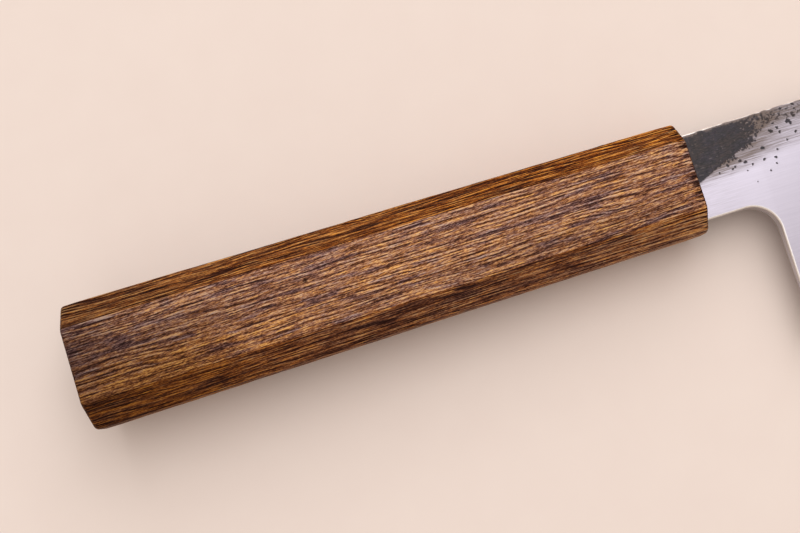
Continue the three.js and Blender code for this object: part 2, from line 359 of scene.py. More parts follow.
# How grey each of these faces is: a painted sheen of the overhead light on the two broad sides, and a
# quarter of it on the three lower faces as a painted reflection of the table
FACE_SHEEN_GREYNESS = (0.0, 0.0, 1.0, 0.25, 0.25, 0.25, 1.0, 0.0)
STATION_STEP = 0.58    # mm between rings along it
CORNER_PASSES = 3      # smoothing passes that wear the long edges round
FRONT_PASSES = 40      # more of them at the front end
BUTT_PASSES = 14       # and at the butt
END_WEAR = 4.0         # mm over which the ends are worn
FACE_CAP_RINGS = 12    # rings on each end face
FIRST_CAP_SHARE = 0.04    # size of the butt's smallest ring
EASE_RINGS = 4         # rings round each end's eased edge
MORTISE_RINGS = 4      # rings down the mortise
RELIEF = 0.12          # mm from the raised fibres down to the pores
END_RELIEF = 0.5       # the end faces' share of the relief
BUTT_EASE_RELIEF = 0.8    # and that of the butt's eased edge


def octagon(share):
    """Corners of the handle's section as y, z, anticlockwise seen from the tip. Share 0 is the butt."""
    y = between(BUTT_HEIGHT, FRONT_HEIGHT, share) / 2
    z = between(BUTT_THICKNESS, FRONT_THICKNESS, share) / 2
    y_side = between(BUTT_SIDE_FACE, FRONT_SIDE_FACE, share) / 2
    z_back = between(BUTT_BACK_FACE, FRONT_BACK_FACE, share) / 2
    return np.array([(y, -z_back), (y, z_back), (y_side, z), (-y_side, z),
                     (-y, z_back), (-y, -z_back), (-y_side, -z), (y_side, -z)])


def ring_plan():
    """For each point round the handle: the corner before it, and its share of the way to the next one."""
    corners = octagon(0)
    lengths = np.linalg.norm(np.roll(corners, -1, axis=0) - corners, axis=1)
    plan = []
    for corner, length in enumerate(lengths):
        steps = round(length / RING_STEPS[corner])
        plan += [(corner, step / steps) for step in range(steps)]
    plan = np.array(plan)
    return plan[:, 0].astype(int), plan[:, 1]


RING_FACE, RING_SHARE = ring_plan()
RING_COUNT = len(RING_FACE)
RING_SHEEN_GREYNESS = np.array(FACE_SHEEN_GREYNESS)[RING_FACE]
# mm round the handle from its first corner
RING_AROUND = np.concatenate([[0], np.cumsum(np.array(RING_STEPS)[RING_FACE[:-1]])])
# mm down the right side from its upper edge, and far away on the other faces
FROM_UPPER_EDGE = np.where(RING_FACE == 2, RING_SHARE * BUTT_SIDE_FACE, 99.0)


def worn(ring, passes):
    """A ring with its corners worn round by averaging neighbours."""
    for _ in range(passes):
        ring = (np.roll(ring, 1, axis=0) + 2 * ring + np.roll(ring, -1, axis=0)) / 4
    return ring


def handle_ring(x, inset):
    """Points and outward directions, rows of x, y, z, of the ring at x, drawn in by inset."""
    corners = octagon(1 + x / HANDLE_LENGTH)
    share = RING_SHARE[:, None]
    ring = worn(corners[RING_FACE] * (1 - share) + corners[(RING_FACE + 1) % 8] * share, CORNER_PASSES)
    for passes, from_end in ((FRONT_PASSES, -x), (BUTT_PASSES, x + HANDLE_LENGTH)):
        if from_end < END_WEAR:
            ring = between(ring, worn(ring, passes), 1 - smooth_step(from_end, 0, END_WEAR))
    tangent = np.roll(ring, -1, axis=0) - np.roll(ring, 1, axis=0)
    outward = np.stack([tangent[:, 1], -tangent[:, 0]], axis=1)
    outward /= np.linalg.norm(outward, axis=1, keepdims=True)
    ring = ring - outward * inset
    zero = np.zeros((RING_COUNT, 1))
    return np.hstack([zero + x, ring]), np.hstack([zero, outward])


def handle_rings():
    """Rings from the butt's middle, along the outside and down to the bottom of the mortise: for each one
    its points, the way out of the wood, and its share of the relief."""
    turns = np.linspace(0, math.pi / 2, EASE_RINGS + 1)
    butt_face, _ = handle_ring(-HANDLE_LENGTH, BUTT_EASE)
    front_face, _ = handle_ring(0, FRONT_EASE)
    rings = []
    for share in np.linspace(FIRST_CAP_SHARE, 1, FACE_CAP_RINGS, endpoint=False):
        rings.append((butt_face * (1, share, share), np.array([[-1.0, 0, 0]]), END_RELIEF))
    for turn in reversed(turns):
        ease_x, inset = BUTT_EASE * (1 - math.sin(turn)), BUTT_EASE * (1 - math.cos(turn))
        rings.append((*handle_ring(ease_x - HANDLE_LENGTH, inset), BUTT_EASE_RELIEF))
    stations = round((HANDLE_LENGTH - BUTT_EASE - FRONT_EASE) / STATION_STEP)
    for x in np.linspace(BUTT_EASE - HANDLE_LENGTH, -FRONT_EASE, stations)[1:-1]:
        rings.append((*handle_ring(x, 0), 1.0))
    for turn in turns:
        ease_x, inset = FRONT_EASE * (1 - math.sin(turn)), FRONT_EASE * (1 - math.cos(turn))
        rings.append((*handle_ring(-ease_x, inset), 1.0))
    mouth_scale = np.minimum(MORTISE_HEIGHT / 2 / np.maximum(abs(front_face[:, 1]), 1e-6),
                             MORTISE_THICKNESS / 2 / np.maximum(abs(front_face[:, 2]), 1e-6))[:, None]
    mouth = front_face * np.hstack([np.ones_like(mouth_scale), mouth_scale, mouth_scale])
    for share in np.linspace(0, 1, FACE_CAP_RINGS + 1)[1:]:
        rings.append((between(front_face, mouth, share), np.array([[1.0, 0, 0]]), END_RELIEF * (share < 1)))
    for depth in np.linspace(0, MORTISE_DEPTH, MORTISE_RINGS + 1)[1:]:
        rings.append((mouth - (depth, 0, 0), np.array([[0.0, 0, 0]]), 0.0))
    return rings


# Handle's wood

FIBRE_SPACING = 0.66   # mm from one raised fibre to the next
RING_SPACING = 1.7     # mm between growth rings on the end faces
END_PORE = 0.45        # mm, a pore on the end faces
RING_MIDDLE = (14.0, -34.0)    # y, z of the growth rings' middle

# Streaks in the wood: mm along, mm across, and the seed of their pattern
WANDER = (18.0, 4.5, 11)
SMALL_WANDER = (8.0, 2.0, 23)
OPEN_PORES = (13.0, 0.27, 19)
CHARRED_STREAKS = (6.5, 0.66, 24)
FRONT_NOTCHES = (5.0, 0.3, 22)

# Places on the handle: x, y, half their length and half their height in mm
PALE_PLACE = (-66.0, -0.5, 13.0, 2.6)        # rubbed paler and more golden, on the right side
LOWER_FRONT_RUB = (-13.0, -8.7, 11.0, 1.0)   # rubbed pale, on the lower slanted faces
BURNT_PORE = (-81.0, 2.6, 0.5, 0.42)         # on the right side
# Darker burnt places on the right side, each with how dark it is
BURNS = (
    ((-131.0, -0.5, 9.0, 5.0), 0.55),
    ((-104.0, 3.0, 14.0, 2.2), 0.2),
    ((-28.0, -5.0, 30.0, 2.6), 0.28),
)
# Stretches of the handle that differ: x where a change starts, and x where it is full
LOWER_FRONT = (-45.0, -4.0)
NARROW_BUTT, NARROW_FRONT = (-92.0, -112.0), (-25.0, -6.0)
BUTT_HALF = (-72.0, -115.0)
UPPER_LENGTH = (-128.0, -20.0)
BUTT_RIM, FRONT_RIM = (-120.0, -129.0), (-2.2, -0.7)
BROAD_ENDS = (7.5, 8.5)    # mm from the middle, up or down, over which the broad sides give way
EDGE_RUB_HIGHLIGHT = 0.3         # mm of the right side along its upper edge that are rubbed pale, with a painted highlight where the edge catches the light
EDGE_RUB_HIGHLIGHT_LENGTH = 9.0  # mm along one stretch of that pale edge


def grain(x, around, length, width, seed):
    """Random streaks from -1 to 1 along x, in rows a width apart that start at different places."""
    row = np.floor(around / width)
    rows = [flat_noise(x / length + 0.618 * at, at, seed) for at in (row, row + 1)]
    return between(*rows, smooth_step(around / width, row, row + 1))


def oak_figure(x, around, length):
    """Brushed relief of oak, from 0 in an open pore to 1 on a raised fibre, at mm along the handle and
    around it. Length is about how far one fibre runs. Slants let the streaks cross a little."""
    def wave(stretch, width, seed, slant=0.0, shift=0.0):
        return grain(x, around + shift + slant * x, length * stretch, width, seed)

    def groove(stretch, width, seed, slant):
        return wave(stretch, width, seed, slant) - wave(stretch, width, seed, slant, shift=1.25 * width)

    drift = around + 0.12 * wave(1.2, 1.6, 12) + 0.04 * wave(0.5, 0.7, 13)
    fibres = np.sin(2 * math.pi * drift / FIBRE_SPACING) * (0.75 + 0.6 * wave(0.8, 0.9, 14))
    streaks = 0.34 * groove(2.0, 0.24, 15, 0.02) + 0.24 * groove(0.9, 0.24, 16, -0.025)
    streaks = streaks + 0.05 * wave(3, 1.8, 17)
    busy = between(0.6, 1.35, smooth_step(wave(1.0, 2.6, 18), -0.5, 0.5))
    return np.clip(0.5 + busy * (0.18 * fibres + streaks), 0, 1)


def end_grain(y, z):
    """Relief of the end faces: growth rings in arcs, with pores between them."""
    rings = np.sin(2 * math.pi * np.hypot(y - RING_MIDDLE[0], z - RING_MIDDLE[1]) / RING_SPACING)
    pores = flat_noise(y / END_PORE, z / END_PORE, 16)
    return np.clip(0.5 + 0.2 * rings + 0.5 * pores, 0, 1)


def wood_marks(places, strength):
    """What the wood shows at places on the handle's rings: its relief's ridge; how broad-faced it is, which
    also sets a painted sheen; how scorched it is, with painted shade at the front end and in the mortise;
    and how warm it is, cool in charred streaks as a painted sheen. Strength is each place's share of the
    relief."""
    x, y, z = places.T
    right = z > 0
    rings = len(places) // RING_COUNT
    broad_and_sheen = np.tile(RING_SHEEN_GREYNESS, rings)
    around = np.tile(RING_AROUND, rings)
    flow = around + 0.9 * grain(x, around, *WANDER) + 0.3 * grain(x, around, *SMALL_WANDER)
    charred = smooth_step(grain(x, flow, *CHARRED_STREAKS), 0.25, 0.75)
    pale = near(x, y, PALE_PLACE) * right
    narrow = smooth_step(abs(y), *BROAD_ENDS)
    below = smooth_step(-y, *BROAD_ENDS)
    above = smooth_step(y, *BROAD_ENDS)

    # Relief, which also sets how light the wood is, with more open pores on the narrow faces
    pores = smooth_step(grain(x, flow, *OPEN_PORES), 0.2, 0.7)
    ridge = between(oak_figure(x, flow, 12.0) - 0.6 * pores, oak_figure(x, flow, 10.0), broad_and_sheen)
    ridge = ridge + (0.16 * smooth_step(x, *LOWER_FRONT) - 0.05) * smooth_step(-y, 7.2, 8.4)
    ridge = np.clip(ridge + 0.16 * near(x, y, LOWER_FRONT_RUB), 0, 1)
    ridge = ridge + 0.03 - 0.22 * charred + 0.1 * pale
    ridge = ridge + 0.1 * narrow * (smooth_step(x, *NARROW_BUTT) + smooth_step(x, *NARROW_FRONT))
    # Upper edge of the right side: partly worn pale, partly a painted highlight of the edge catching the
    # light
    rubbed_highlight = np.exp(-(np.tile(FROM_UPPER_EDGE, rings) / EDGE_RUB_HIGHLIGHT) ** 2)
    rubbed_highlight = rubbed_highlight * smooth_step(flat_noise(x / EDGE_RUB_HIGHLIGHT_LENGTH, 0 * x, 20), -0.6, 0.4)
    ridge = np.clip(ridge + 0.3 * rubbed_highlight, 0, 1)

    # At the front end the relief is deeper and the wood paler, a painted highlight of the lit fibre ends,
    # with notches where soft wood broke out
    rim = smooth_step(x, *FRONT_RIM)
    notch = rim * smooth_step(grain(x, around, *FRONT_NOTCHES), -0.05, 0.4)
    ridge = np.clip(ridge + rim * (0.2 + 0.9 * (ridge - 0.5)) - 0.65 * notch, 0, 1)
    ridge = np.where(strength == END_RELIEF, end_grain(y, z), ridge)

    # Scorch: more towards the butt and the lower side, in burnt places and on the end edges. At the front
    # end the dark edge and the dark notches are painted shade of the gap against the blade, and the mortise
    # is painted fully dark as shade
    scorch_and_shade = smooth_step(-x - 1.5 * y + 14 * noise(places / (22, 5, 5), 21), 60, 190)
    for place, amount in BURNS:
        scorch_and_shade = scorch_and_shade + (1 - scorch_and_shade) * amount * near(x, y, place) * right
    # The front end's dark edge and its dark notches are painted shade
    at_end = np.maximum(smooth_step(x, -0.45, -0.1), smooth_step(-x, HANDLE_LENGTH - 0.35, HANDLE_LENGTH))
    scorch_and_shade = np.maximum(scorch_and_shade, np.maximum(0.9 * at_end, 0.8 * notch))
    pore_x, pore_y, pore_length, pore_height = BURNT_PORE
    from_pore = np.hypot((x - pore_x) / pore_length, (y - pore_y) / pore_height)
    scorch_and_shade = np.maximum(scorch_and_shade, smooth_step(from_pore, 1.4, 0.6) * right)
    # Painted shade: the mortise is fully dark
    scorch_and_shade = np.where(strength == 0, 1.0, scorch_and_shade)

    # Warmth: golden low on the butt's side and at the upper face's front, cool in charred streaks, where the
    # cool tint is a painted sheen of the overhead light
    lower = smooth_step(-y, -1.0, 5.0)
    butt_half = smooth_step(x, *BUTT_HALF)
    warmth_and_sheen = lower * (0.42 * butt_half + 0.05) - 0.25 * below * (1 - butt_half)
    warmth_and_sheen = warmth_and_sheen + above * between(-0.3, 0.2, smooth_step(x, *UPPER_LENGTH)) + 0.15 * pale - 0.48 * charred
    warmth_and_sheen = warmth_and_sheen - 0.06 * butt_half * (1 - lower) * (1 - above)
    warmth_and_sheen = warmth_and_sheen - 0.16 * smooth_step(x, *BUTT_RIM) * (1 - narrow)
    return {"ridge": ridge, "broad_and_sheen": broad_and_sheen, "scorch_and_shade": scorch_and_shade, "warmth_and_sheen": warmth_and_sheen}


def make_handle():
    rings = handle_rings()
    places = np.vstack([at for at, _, _ in rings])
    outward = np.vstack([np.broadcast_to(way, at.shape) for at, way, _ in rings])
    strength = np.repeat([share for _, _, share in rings], RING_COUNT)
    marks = wood_marks(places, strength)
    points = places - outward * (RELIEF * strength * (1 - marks["ridge"]))[:, None]

    faces = []
    for start in range(0, len(points) - RING_COUNT, RING_COUNT):
        for i in range(RING_COUNT):
            a, b = start + i, start + (i + 1) % RING_COUNT
            faces.append((a, b, b + RING_COUNT, a + RING_COUNT))
    butt_middle, mortise_middle = len(points), len(points) + 1
    last_ring = len(points) - RING_COUNT
    for i in range(RING_COUNT):
        j = (i + 1) % RING_COUNT
        faces.append((butt_middle, j, i))
        faces.append((mortise_middle, last_ring + i, last_ring + j))
    points = np.vstack([points, (-HANDLE_LENGTH, 0, 0), (-MORTISE_DEPTH, 0, 0)])
    middles = {"ridge": (0.5, 0), "broad_and_sheen": (0, 0), "scorch_and_shade": (0.8, 1), "warmth_and_sheen": (0, 0)}
    marks = {mark: np.append(values, middles[mark]) for mark, values in marks.items()}
    make_piece("brushed_oak_handle", points, faces, marks, burnt_oak(), "octagonal_handle",
               sharp_degrees=80)


# Blade shape

def along_edge(x):
    """Share of the edge's length from the heel to x."""
    return np.clip((x - HEEL_X) / EDGE_LENGTH, 0, None)


def spine_y(x):
    return SPINE_RISE - SPINE_DROP * np.clip((x - HEEL_X) / (CLIP_X - HEEL_X), 0, None) ** 2


def edge_y(x):
    return SPINE_RISE - HEEL_HEIGHT + TIP_LIFT * along_edge(x) ** BELLY_POWER


def clip_y(x):
    """Height of the clip's straight line, which carries on past both its ends."""
    return between(spine_y(CLIP_X), edge_y(TIP_X) + TIP_FLAT, (x - CLIP_X) / CLIP_LENGTH)


def core_top(x):
    return between(CORE_THICKNESS, CORE_TIP_THICKNESS, along_edge(x)) / 2


def flat_half(x):
    return between(SPINE_THICKNESS, TIP_THICKNESS, along_edge(x)) / 2


def half_thickness(x, y):
    """From the blade's middle plane to its face, without worn corners."""
    sharp_y = edge_y(x) + SHARPENED_HEIGHT
    up = np.clip((y - sharp_y) / (spine_y(x) - FLAT_HEIGHT - sharp_y), 0, 1)
    ground = between(SHARPENED_THICKNESS / 2, flat_half(x), 1 - (1 - up) ** GRIND_POWER)
    from_edge = np.clip((y - edge_y(x)) / SHARPENED_HEIGHT, 0, 1)
    sharpened = between(EDGE_LAND / 2, SHARPENED_THICKNESS / 2, from_edge)
    tang = between(TANG_THICKNESS, TANG_END_THICKNESS, np.clip(-x / TANG_LENGTH, 0, 1)) / 2
    return np.where(x < SHOULDER_X, tang, np.where(y < sharp_y, sharpened, ground))


def weld_y(x):
    """Height of the line where a cladding runs out on the core."""
    low = SHARPENED_THICKNESS / 2
    fullness = (core_top(x) - low) / (flat_half(x) - low)
    up = 1 - (1 - fullness) ** (1 / GRIND_POWER)
    sharp_y = edge_y(x) + SHARPENED_HEIGHT
    return between(sharp_y, spine_y(x) - FLAT_HEIGHT, up)


def wavy_weld_y(x):
    """The weld line as it comes out of the forge, never below where the cladding ends."""
    wave = flat_noise(x / 11, 0 * x, 30) + 0.5 * flat_noise(x / 4, 0 * x, 31)
    return weld_y(x) + 0.25 + 0.16 * wave


def spine_distance(x, y):
    """Distance in mm from the spine or the clip."""
    clip_slope = (clip_y(TIP_X) - clip_y(CLIP_X)) / CLIP_LENGTH
    clip = (clip_y(x) - y) / math.hypot(1, clip_slope)
    return np.clip(np.minimum(spine_y(x) - y, clip), 0, None)


def choil_distance(x, y):
    """Distance in mm from the neck's lower side, the choil or the heel."""
    arc_x = x - (HEEL_X - CHOIL_RADIUS)
    arc_y = y + NECK_DROP + CHOIL_RADIUS
    arc = np.hypot(np.maximum(arc_x, 0), np.maximum(arc_y, 0)) - CHOIL_RADIUS
    return np.clip(np.where(arc_y < 0, x - HEEL_X, np.where(arc_x < 0, y + NECK_DROP, arc)), 0, None)


def corner_distance(x, y):
    """Distance in mm from the nearest of the blade's worn corners."""
    return np.minimum(spine_distance(x, y), choil_distance(x, y))


def rounding(distance, radius):
    """How far a corner worn to a radius lies below its face, at a distance from the edge."""
    inside = np.clip(radius - distance, 0, None)
    return radius - np.sqrt(radius ** 2 - inside ** 2)


# Blade outlines and plates

FINE_STEP = 0.2      # mm between points of the outline up to FINE_X
COARSE_STEP = 0.8    # mm between them farther on
FINE_X = 42.0        # mm: the forged end of the blade, which is seen close, is finer up to here
FINE_LOW_Y = -14.0   # and down to here
SKIN_END_X = 27.5    # mm: the forge skin breaks up before here
SKIN_LOW_Y = -5.5    # and doesn't reach down to here
REST_STEP = 1.4      # mm between points on the rest of the face
SPINE_STRIP = 3.0    # mm below the spine that stay finer up to the clip
CHOIL_POINTS = 48    # points on the choil's arc
SPINE_WEAR = 0.35    # mm, radius of the eased spine
CHOIL_WEAR = 0.3     # mm, radius of the eased neck, choil and heel
RIM_INSETS = (0.05, 0.12, 0.2, 0.3, 0.45)    # mm from those corners to rows of points that follow them
CHOIL_LIP = (0.42, 0.24)    # mm from the neck and choil at which their lip, a painted highlight, starts, and is full
SPINE_LIP = (0.28, 0.1)     # the same at the spine
WALL_REFLECTION_POLISH, WALL_REFLECTION_HAZE = 0.4, 0.7    # shares on the wall under the lip of the choil, which paint it pale beige as a reflection of the table
WELD_GAP = 0.002     # mm between the core and a cladding
THINNEST = 0.006     # mm from the core to a cladding's face where it runs out
# mm over the edge at which the core's faces have rows of points
CORE_ROWS = (0.2, 0.4, 0.6, SHARPENED_HEIGHT, 1.1, 1.6, 2.3, 3.2, 4.2, 5.4, 6.8, 8.4, 10.4)


def line(start, end, step):
    """Points from start up to, but without, end."""
    start, end = np.array(start, float), np.array(end, float)
    steps = max(1, round(np.linalg.norm(end - start) / step))
    return start + (end - start) * np.arange(steps)[:, None] / steps


def neck_and_choil():
    """Outline from the tang's lower back corner to the top of the heel."""
    turn = np.linspace(math.pi / 2, 0, CHOIL_POINTS)
    arc = np.stack([HEEL_X - CHOIL_RADIUS + CHOIL_RADIUS * np.cos(turn),
                    -NECK_DROP - CHOIL_RADIUS + CHOIL_RADIUS * np.sin(turn)], axis=1)
    return np.vstack([
        line((-TANG_LENGTH, -TANG_END_HEIGHT / 2), (0, -TANG_HEIGHT / 2), 4),
        line((0, -TANG_HEIGHT / 2), (SHOULDER_X, -TANG_HEIGHT / 2), 1),
        line((SHOULDER_X, -TANG_HEIGHT / 2), (SHOULDER_X, -NECK_DROP), 0.5),
        line((SHOULDER_X, -NECK_DROP), arc[0], FINE_STEP),
        arc[:-1],
    ])


def clip_and_spine(clip_end_x):
    """Outline from a point on the clip, over the spine, to the tang's upper back corner."""
    far = np.arange(CLIP_X, FINE_X, -COARSE_STEP)
    close = np.arange(FINE_X, SHOULDER_X, -FINE_STEP)
    top = np.concatenate([far, close])
    return np.vstack([
        line((clip_end_x, clip_y(clip_end_x)), (CLIP_X, spine_y(CLIP_X)), COARSE_STEP),
        np.stack([top, spine_y(top)], axis=1),
        line((SHOULDER_X, SPINE_RISE), (SHOULDER_X, TANG_HEIGHT / 2), 0.5),
        line((SHOULDER_X, TANG_HEIGHT / 2), (0, TANG_HEIGHT / 2), 1),
        line((0, TANG_HEIGHT / 2), (-TANG_LENGTH, TANG_END_HEIGHT / 2), 4),
        line((-TANG_LENGTH, TANG_END_HEIGHT / 2), (-TANG_LENGTH, -TANG_END_HEIGHT / 2), 2),
    ])


def grid(x_low, x_high, y_low, y_high, step):
    x, y = np.meshgrid(np.arange(x_low, x_high, step), np.arange(y_low, y_high, step))
    return np.stack([x.ravel(), y.ravel()], axis=1)


def triangles(outline, inner):
    """Fills an outline with triangles on inner points: points, faces and where the outline's points went."""
    count = len(outline)
    given = [Vector(place) for place in np.vstack([outline, inner]).tolist()]
    found = delaunay_2d_cdt(given, [], [list(range(count))], 1, 1e-6)
    border = np.zeros(count, int)
    for new, old_ones in enumerate(found[3]):
        for old in old_ones:
            if old < count:
                border[old] = new
    return np.array([tuple(place) for place in found[0]]), [tuple(face) for face in found[2]], border


def plate(outline, upper_inner, lower_inner, top, bottom):
    """A closed plate over an anticlockwise outline: points and faces, between heights given by functions."""
    upper, upper_faces, upper_border = triangles(outline, upper_inner)
    lower, lower_faces, lower_border = triangles(outline, lower_inner)
    points = np.vstack([np.column_stack([upper, top(*upper.T)]), np.column_stack([lower, bottom(*lower.T)])])
    shift = len(upper)
    faces = upper_faces + [tuple(i + shift for i in reversed(face)) for face in lower_faces]
    for i, j in zip(range(len(outline)), np.roll(range(len(outline)), -1)):
        faces.append((upper_border[i], lower_border[i] + shift, lower_border[j] + shift, upper_border[j]))
    return points, faces


# Forge skin and grinding marks

SKIN_THICKNESS = 0.045   # mm of forge scale above the ground face
SKIN_PITS = 0.02         # mm, depth of its pits
PIT_SIZE = 0.8           # mm

# Depth of the black skin below the spine, at distances from the handle
SKIN_X = (0, 2.4, 5.4, 8.8, 12.3, 14.5, 16.9, 18.5, 27, 60, 142)
SKIN_DEPTH = (11.4, 10.4, 9.1, 7.8, 6.6, 6.1, 4.2, 2.9, 2.2, 1.2, 0.6)

# Share of the skin that is left inside that depth
COVER_X = (0, 12.5, 14.5, 17, 20, 27, 60, 142)
COVER = (1.0, 1.0, 0.76, 0.56, 0.44, 0.38, 0.18, 0.05)

# Height at which the grey haze under the skin has died away
HAZE_X = (0, 6, 14, 18, 24, 60)
HAZE_LOW = (-3.1, -2.4, -1.7, -0.9, -0.3, 3.0)

# Flakes of skin left beyond its edge: x, y and half their width
FLAKES = (
    (19.2, 4.5, 0.42), (20.7, 4.8, 0.3), (21.0, 3.8, 0.26), (20.2, 5.9, 0.2), (16.5, 1.7, 0.42),
    (19.4, 0.5, 0.25), (22.0, 1.8, 0.26), (16.1, -0.7, 0.3), (18.6, -1.0, 0.3), (18.3, -2.2, 0.2),
    (16.7, -3.3, 0.17), (13.4, -4.7, 0.11), (23.4, 5.5, 0.5), (24.8, 6.3, 0.4), (23.8, 5.1, 0.35),
    (24.2, 2.9, 0.25), (22.6, 8.4, 0.3), (25.4, 8.6, 0.3), (12.1, -1.9, 0.16), (13.5, -1.0, 0.22),
    (9.3, -0.7, 0.22), (10.4, 1.3, 0.3), (8.9, 1.0, 0.25), (9.9, -0.4, 0.25), (11.2, 0.5, 0.3),
    (12.2, -0.1, 0.35), (8.5, 0.3, 0.35), (6.4, -0.6, 0.2),
)

# Sides of such a flake: the way they face, in radians, and their distance from its middle
FLAKE_SIDES = ((0.0, 1.1), (1.1, 0.7), (2.5, 1.2), (3.7, 0.75), (5.0, 0.9))
FLAKE_TURN = 2.4    # radians from one flake's turn to the next one's


def outside_flake(x, y, number):
    """How far places lie from the middle of an angular flake: 1 on its sides."""
    flake_x, flake_y, size = FLAKES[number]
    sides = []
    for way, reach in FLAKE_SIDES:
        way = way + FLAKE_TURN * number
        sides.append(((x - flake_x) * math.cos(way) + (y - flake_y) * math.sin(way)) / (size * reach))
    return np.max(sides, axis=0)


def skin_marks(x, y, side):
    """Black skin and grey haze, each 0 to 1, on one side of the blade."""
    seed = 40 if side > 0 else 60

    def pattern(across, up, number):
        return flat_noise(across, up, seed + number)

    # Black down to its depth, with a ragged edge that is calm next to the handle
    depth = spine_y(x) - y
    crumbs = pattern(x / 0.5, y / 0.4, 0) + 0.8 * pattern(x / 0.24, y / 0.2, 1)
    spikes = pattern((x + y) / 0.9, (x - y) / 0.2, 7)
    spikes = spikes + pattern((x + 0.3 * y) / 0.22, (y - 0.3 * x) / 1.1, 8)
    rag = 0.45 * pattern(x / 1.6, y / 1.1, 2) + 0.3 * crumbs + 0.35 * spikes
    rag = rag * between(0.12, 0.8, smooth_step(x, 5.0, 7.5))
    skin = smooth_step(np.interp(x, SKIN_X, SKIN_DEPTH) - depth + rag, -0.1, 0.14)

    # Crumbled farther on, scuffed next to the handle and frayed at the spine, with loose flakes beyond it
    cover = np.interp(x, COVER_X, COVER)
    skin = skin * smooth_step(crumbs, 1.2 - 3.2 * cover, 2.4 - 3.2 * cover)
    scuffs = pattern(x / 1.1, y / 0.16, 9) + 0.6 * pattern(x / 0.3, y / 0.7, 10)
    skin = skin * (1 - 0.4 * smooth_step(scuffs, 0.45, 0.95) * smooth_step(x, 13, 5))
    fringe = 0.5 + 0.35 * pattern(x / 1.8, y / 9, 3) + 0.2 * crumbs
    skin = skin * smooth_step(depth, fringe - 0.3, fringe + 0.2)
    for number in range(len(FLAKES)):
        skin = np.maximum(skin, smooth_step(outside_flake(x, y, number) + 0.3 * crumbs, 1.1, 0.8))

    # Haze: under the skin, along the spine and, faintly, all over the neck
    streak = 0.6 * pattern(x / 8, y / 0.3, 5) + 0.5 * pattern(x / 3, y / 0.16, 6)
    low = np.interp(x, HAZE_X, HAZE_LOW)
    fade = between(1.0, 0.5, smooth_step(x, 14, 25)) * between(1.0, 0.3, smooth_step(x, 27, 70))
    haze = 0.85 * fade * smooth_step(y + 0.4 * streak, low - 0.5, low + 3.3)
    along_spine = 0.4 * smooth_step(depth + 0.5 * streak, 5.0, 2.0)
    haze = haze + along_spine * between(1.0, 0.5, smooth_step(x, 27, 90))
    haze = haze + 0.12 * streak * smooth_step(haze, 0.0, 0.4) + 0.09 * smooth_step(x, 14, 5)
    return np.where(x < SHOULDER_X, 1.0, skin), np.clip(haze, 0, 1)


# Blade pieces

def cladding_outline():
    """Outline of a cladding, which ends on the weld line instead of the edge."""
    weld_x = np.arange(HEEL_X, TIP_X, COARSE_STEP)
    weld = np.stack([weld_x, wavy_weld_y(weld_x)], axis=1)
    weld = weld[weld[:, 1] < clip_y(weld_x) - 0.1]
    return np.vstack([
        neck_and_choil(),
        line((HEEL_X, -NECK_DROP - CHOIL_RADIUS), weld[0], FINE_STEP),
        weld,
        clip_and_spine(weld[-1, 0] + COARSE_STEP / 2),
    ])


def cladding_points(outline, skin_step):
    """Points on a cladding's face: a grid that is finest on the skin, and rows along its worn corners."""
    skin = grid(SHOULDER_X + 0.1, SKIN_END_X, SKIN_LOW_Y, SPINE_RISE, skin_step)
    fine = grid(SHOULDER_X + 0.1, FINE_X, FINE_LOW_Y, SPINE_RISE, 2 * skin_step)
    fine = fine[(fine[:, 0] > SKIN_END_X) | (fine[:, 1] < SKIN_LOW_Y)]
    strip = grid(FINE_X, CLIP_X, SPINE_RISE - SPINE_DROP - SPINE_STRIP, SPINE_RISE, 2 * FINE_STEP)
    rest = grid(SHOULDER_X, TIP_X, SPINE_RISE - HEEL_HEIGHT, SPINE_RISE, REST_STEP)
    rest = rest[(rest[:, 0] > FINE_X) | (rest[:, 1] < FINE_LOW_Y)]
    rim = outline[(corner_distance(*outline.T) < 1e-6) & (outline[:, 0] > SHOULDER_X)]
    ahead = np.roll(rim, -1, axis=0) - np.roll(rim, 1, axis=0)
    inward = np.stack([-ahead[:, 1], ahead[:, 0]], axis=1) / np.linalg.norm(ahead, axis=1, keepdims=True)
    points = np.vstack([skin, fine, strip, rest] + [rim + inward * inset for inset in RIM_INSETS])
    x, y = points.T
    inside = (corner_distance(x, y) > 0.03) & (x > SHOULDER_X + 0.05)
    inside &= (x < HEEL_X) | (y > wavy_weld_y(x) + 0.05)
    return points[inside]


